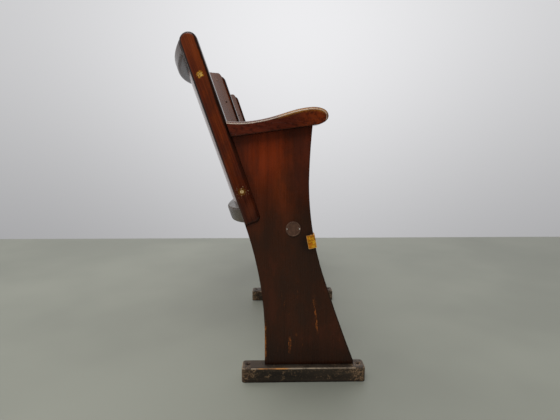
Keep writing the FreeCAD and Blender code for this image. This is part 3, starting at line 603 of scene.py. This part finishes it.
# ---- give every node its material -----------------------------------------------------------
def paint_nodes():
    """Each node takes the finish whose name starts its own; the longest such name counts."""
    ply = (srgb(104, 54, 24), srgb(127, 68, 31), srgb(142, 78, 36))
    rail = (srgb(74, 33, 19), srgb(94, 43, 24), srgb(110, 51, 27))
    beech = (srgb(160, 124, 84), srgb(186, 150, 108), srgb(202, 168, 124))
    browned = (srgb(176, 134, 108), srgb(150, 106, 84))
    bright = (srgb(255, 248, 236), srgb(244, 232, 214))
    steel = metal("turned_steel", srgb(176, 172, 166), srgb(100, 82, 64), 0.25, 0.6, 0.58)
    cross = plain_wood("cross_wood", ALONG_X, *rail, 0.36, 0.52)
    olive = (srgb(58, 44, 26), srgb(74, 54, 32), srgb(86, 60, 36))
    umber = (srgb(66, 36, 20), srgb(82, 46, 26), srgb(94, 54, 30))
    finishes = {
        "back_stile": stile_wood(),
        "upright_panel": panel_wood(),
        "armrest": arm_wood(),
        "foot": foot_wood(),
        "foot_screws": metal("foot_steel", srgb(150, 146, 140), srgb(84, 66, 52), 0.35, 0.7),
        "top_rail": plain_wood("top_rail_wood", ALONG_X, *umber, 0.22, 0.27, 0.16, 0.15),
        "lower_rail": plain_wood("low_rail_wood", ALONG_X, *olive, 0.26, 0.32, 0.16, 0.0),
        "back_battens": plain_wood("batten_wood", LEANING, *rail, 0.34, 0.5),
        "back_panel": plain_wood("back_ply", LEANING, *ply, 0.16, 0.28, coat=0.5),
        "back_panel_screws": metal("browned_brass", *browned, 0.4, 0.5, metallic=0.0),
        "back_screws": rubbed_brass(),
        "seat_board": plain_wood("seat_ply", ALONG_X, *ply, 0.22, 0.36, coat=0.5),
        "seat_board_screws": metal("seat_brass", srgb(200, 158, 90), srgb(90, 58, 30), 0.3, 0.6),
        "seat_front_rail": cross,
        "seat_rear_rail": cross,
        "seat_side_rail": plain_wood("side_wood", FOLDED, *rail, 0.36, 0.52),
        "arm_dowels": bare_wood("dowel_wood", LEANING, *beech),
        "hinge_plate": metal("hinge_iron", srgb(92, 86, 80), srgb(40, 34, 30), 0.42, 0.72, 0.44),
        "hinge_screws": steel,
        "pivot_pin": steel,
        "pivot_nuts": steel,
        "pivot_washers": steel,
        "pivot_bushes": metal("bronze", srgb(196, 142, 84), srgb(98, 66, 40), 0.3, 0.6),
        "stop_pegs": steel,
        "stop_sleeves": rubber(),
        "cover_disc": cover_paint(),
        # Nail heads painted near white: a painted glint.
        "cover_nails": metal("nail_painted_glint", *bright, 0.3, 0.45, 0.70, 0.0),
        "aisle_marker": marker_paint(),
    }
    for name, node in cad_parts.items():
        start = max((key for key in finishes if name.startswith(key)), key=len)
        for slot in node.material_slots:
            slot.material = finishes[start]


# ---- stage, light and camera ----------------------------------------------------------------
def add_object(name, data):
    made = bpy.data.objects.new(name, data)
    SCENE.collection.objects.link(made)
    return made


def floor():
    """Pale floor that ends past the bench's far end, where the backdrop begins."""
    past_far_end = 0.5235
    near, far, side = -3.4, CAD_BOX[1][0] + past_far_end, 3.2
    outline = [(near, -side, 0), (far, -side, 0), (far, side, 0), (near, side, 0)]
    mesh = bpy.data.meshes.new("studio_floor")
    mesh.from_pydata(outline, [], [(0, 1, 2, 3)])
    plane = add_object("studio_floor", mesh)
    material, g = new_material("studio_floor")
    place = g.place()
    haze = g.noise(place, 1.3, 3.0)
    colour = g.mix(g.step(haze, 0.35, 0.65), srgb(150, 152, 140), srgb(160, 162, 149))
    g.surface(colour, 0.5, Specular_IOR_Level=0.3)
    mesh.materials.append(material)


def soft_light(name, place, target, size, power, colour=(1, 1, 1)):
    data = bpy.data.lights.new(name, "AREA")
    data.shape = "RECTANGLE"
    data.size, data.size_y = size
    data.energy = power
    data.color = colour
    lamp = add_object(name, data)
    lamp.location = place
    lamp.rotation_euler = (Vector(target) - Vector(place)).to_track_quat("-Z", "Y").to_euler()


def surroundings():
    """Pale backdrop; what the lacquer reflects is bright behind the bench and dim before it."""
    world = bpy.data.worlds.new("studio")
    SCENE.world = world
    world.use_nodes = True
    g = Graph(world.node_tree)
    x, y, z = g.split(g.add("ShaderNodeTexCoord").outputs["Generated"])
    wall = g.mix(g.step(z, -0.45, 0.30), srgb(176, 176, 178), srgb(237, 237, 239))
    aside = g.math("ABSOLUTE", g.math("ADD", y, 0.06))
    wall = g.dim(wall, g.step(aside, 0.0, 0.75, 1.0, 0.68))
    lit = g.most(g.step(x, -0.35, 0.55), g.step(y, -0.1, 0.9), g.step(z, 0.3, 0.95, 0.0, 0.5))
    room = g.dim(wall, g.math("MULTIPLY_ADD", lit, 0.96, 0.04))
    seen = g.add("ShaderNodeLightPath").outputs["Is Camera Ray"]
    light = g.add("ShaderNodeBackground")
    g.put(light.inputs["Color"], g.mix(seen, room, wall))
    out = g.add("ShaderNodeOutputWorld")
    g.tree.links.new(light.outputs[0], out.inputs[0])


def camera():
    """End-on view from the sitter's right, from a little under the armrests' height."""
    data = bpy.data.cameras.new("end_view")
    view = add_object("end_view", data)
    data.sensor_width = 36.0
    data.lens = 25.714
    back_from_foot, rearward, height = 0.943, 0.079, 0.586
    view.location = (NEAR_FACE - back_from_foot, rearward, height)
    down, across = math.radians(8.53), math.radians(1.133)
    aim = (math.cos(down) * math.cos(across), -math.cos(down) * math.sin(across), -math.sin(down))
    view.rotation_euler = Vector(aim).to_track_quat("-Z", "Y").to_euler()
    SCENE.camera = view


paint_nodes()
floor()
surroundings()
soft_light("overhead", (0.6, 1.2, 2.9), (0.0, 0.05, 0.4), (2.4, 2.4), 24)
soft_light("camera_side", (-2.2, 0.5, 3.1), (-0.5, 0.05, 0.5), (1.6, 1.6), 34)
camera()
SCENE.view_settings.view_transform = "Standard"
